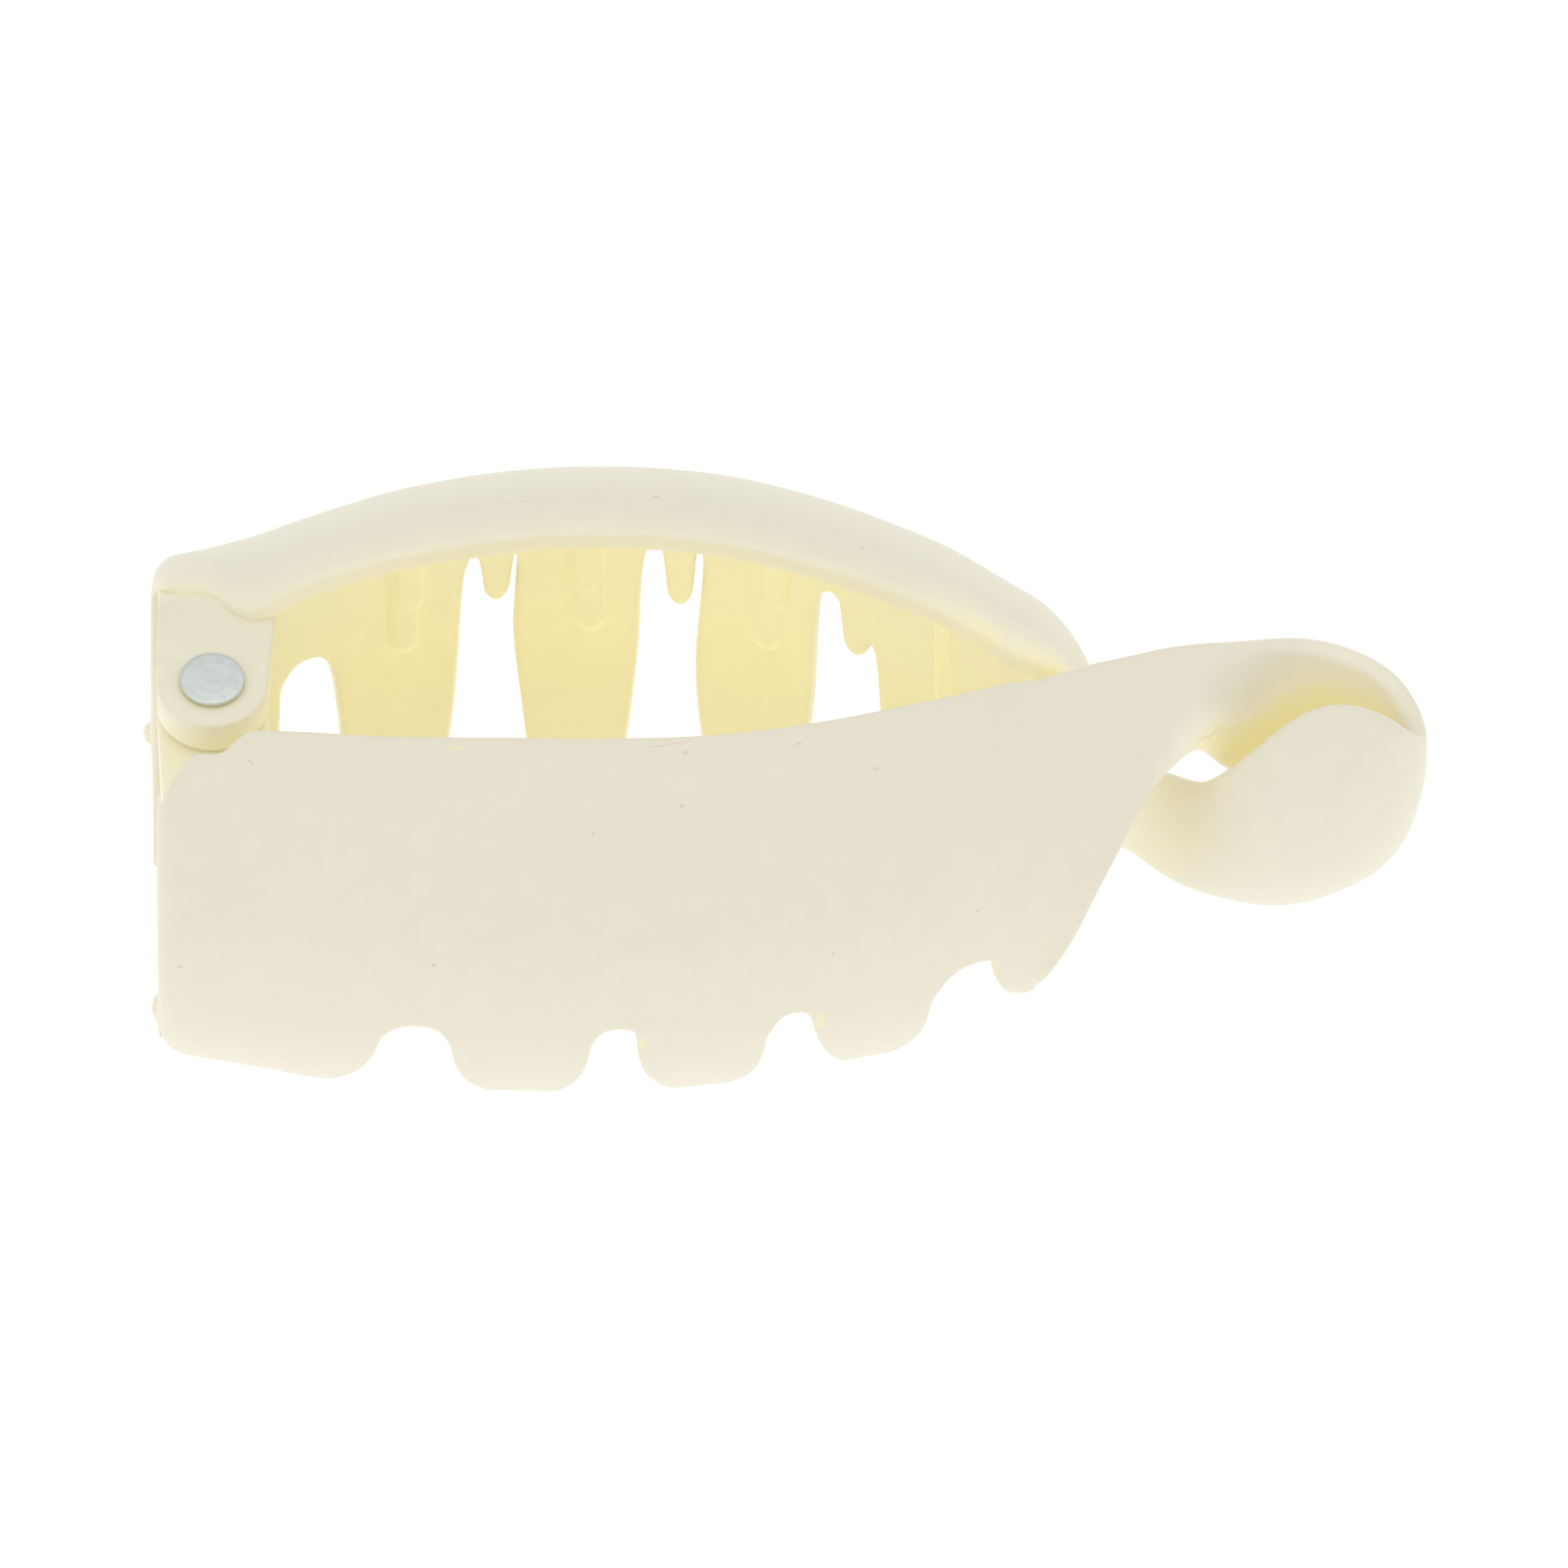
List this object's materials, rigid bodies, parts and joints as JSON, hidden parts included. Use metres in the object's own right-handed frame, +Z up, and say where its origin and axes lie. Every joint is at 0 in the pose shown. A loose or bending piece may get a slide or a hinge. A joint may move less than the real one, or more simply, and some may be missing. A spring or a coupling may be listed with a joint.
{
  "type": "banana hair clip",
  "caption": "Curved two-jaw banana hair clip in cream plastic with interlocking teeth, a steel hinge pin and a twisted loop at the open end.",
  "frame": {"origin": "middle of the clip's box, at the height of the surface it rests on", "axes": "+X from the hinge to the loop, +Y to the back jaw, +Z up through the open side, along the hinge axis"},
  "size_m": [0.109, 0.0572, 0.0414],
  "materials": {
    "back_jaw": "satin cream",
    "front_jaw": "satin cream",
    "hinge_pin": "dull"
  },
  "bodies": {
    "back": {"back_jaw": "back_jaw", "hinge_pin": "hinge_pin"},
    "front": {"front_jaw": "front_jaw"}
  },
  "joints": [
    {"name": "jaw_hinge", "type": "hinge", "parent": "back", "child": "front", "pos_m": [-0.04952, 0.00001, 0.018], "axis": [0, 0, -1], "range_deg": [0, 75]}
  ]
}
